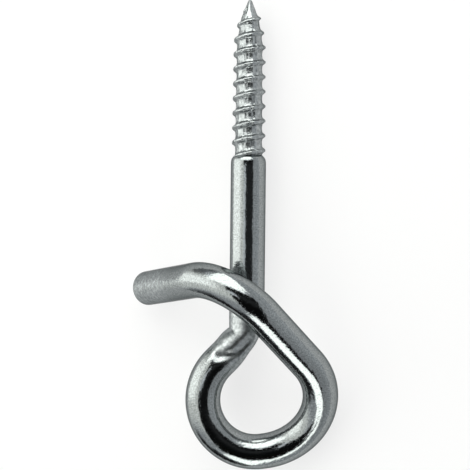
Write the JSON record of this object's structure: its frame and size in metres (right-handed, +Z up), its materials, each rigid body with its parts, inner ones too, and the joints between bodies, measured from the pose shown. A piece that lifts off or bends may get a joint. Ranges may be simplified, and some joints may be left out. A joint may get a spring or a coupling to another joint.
{
  "type": "screw hook",
  "caption": "Round steel bar with a coarse wood thread and a gimlet point at one end, bent at the other into a pigtail eye whose tail passes in front of the shank.",
  "frame": {"origin": "on the axis of the plain shank, where the neck bend starts", "axes": "+Z is up from the surface the hook lies on, +Y follows the shank to the screw point, seen from above and dipping by less than two degrees, and the eye lies towards -Y"},
  "size_m": [0.0732, 0.1598, 0.0368],
  "materials": {
    "zinc_plated_steel": "bright zinc plating, smooth on the bar and duller in the thread"
  },
  "bodies": {
    "root": {"screw_hook": "zinc_plated_steel"}
  },
  "joints": []
}
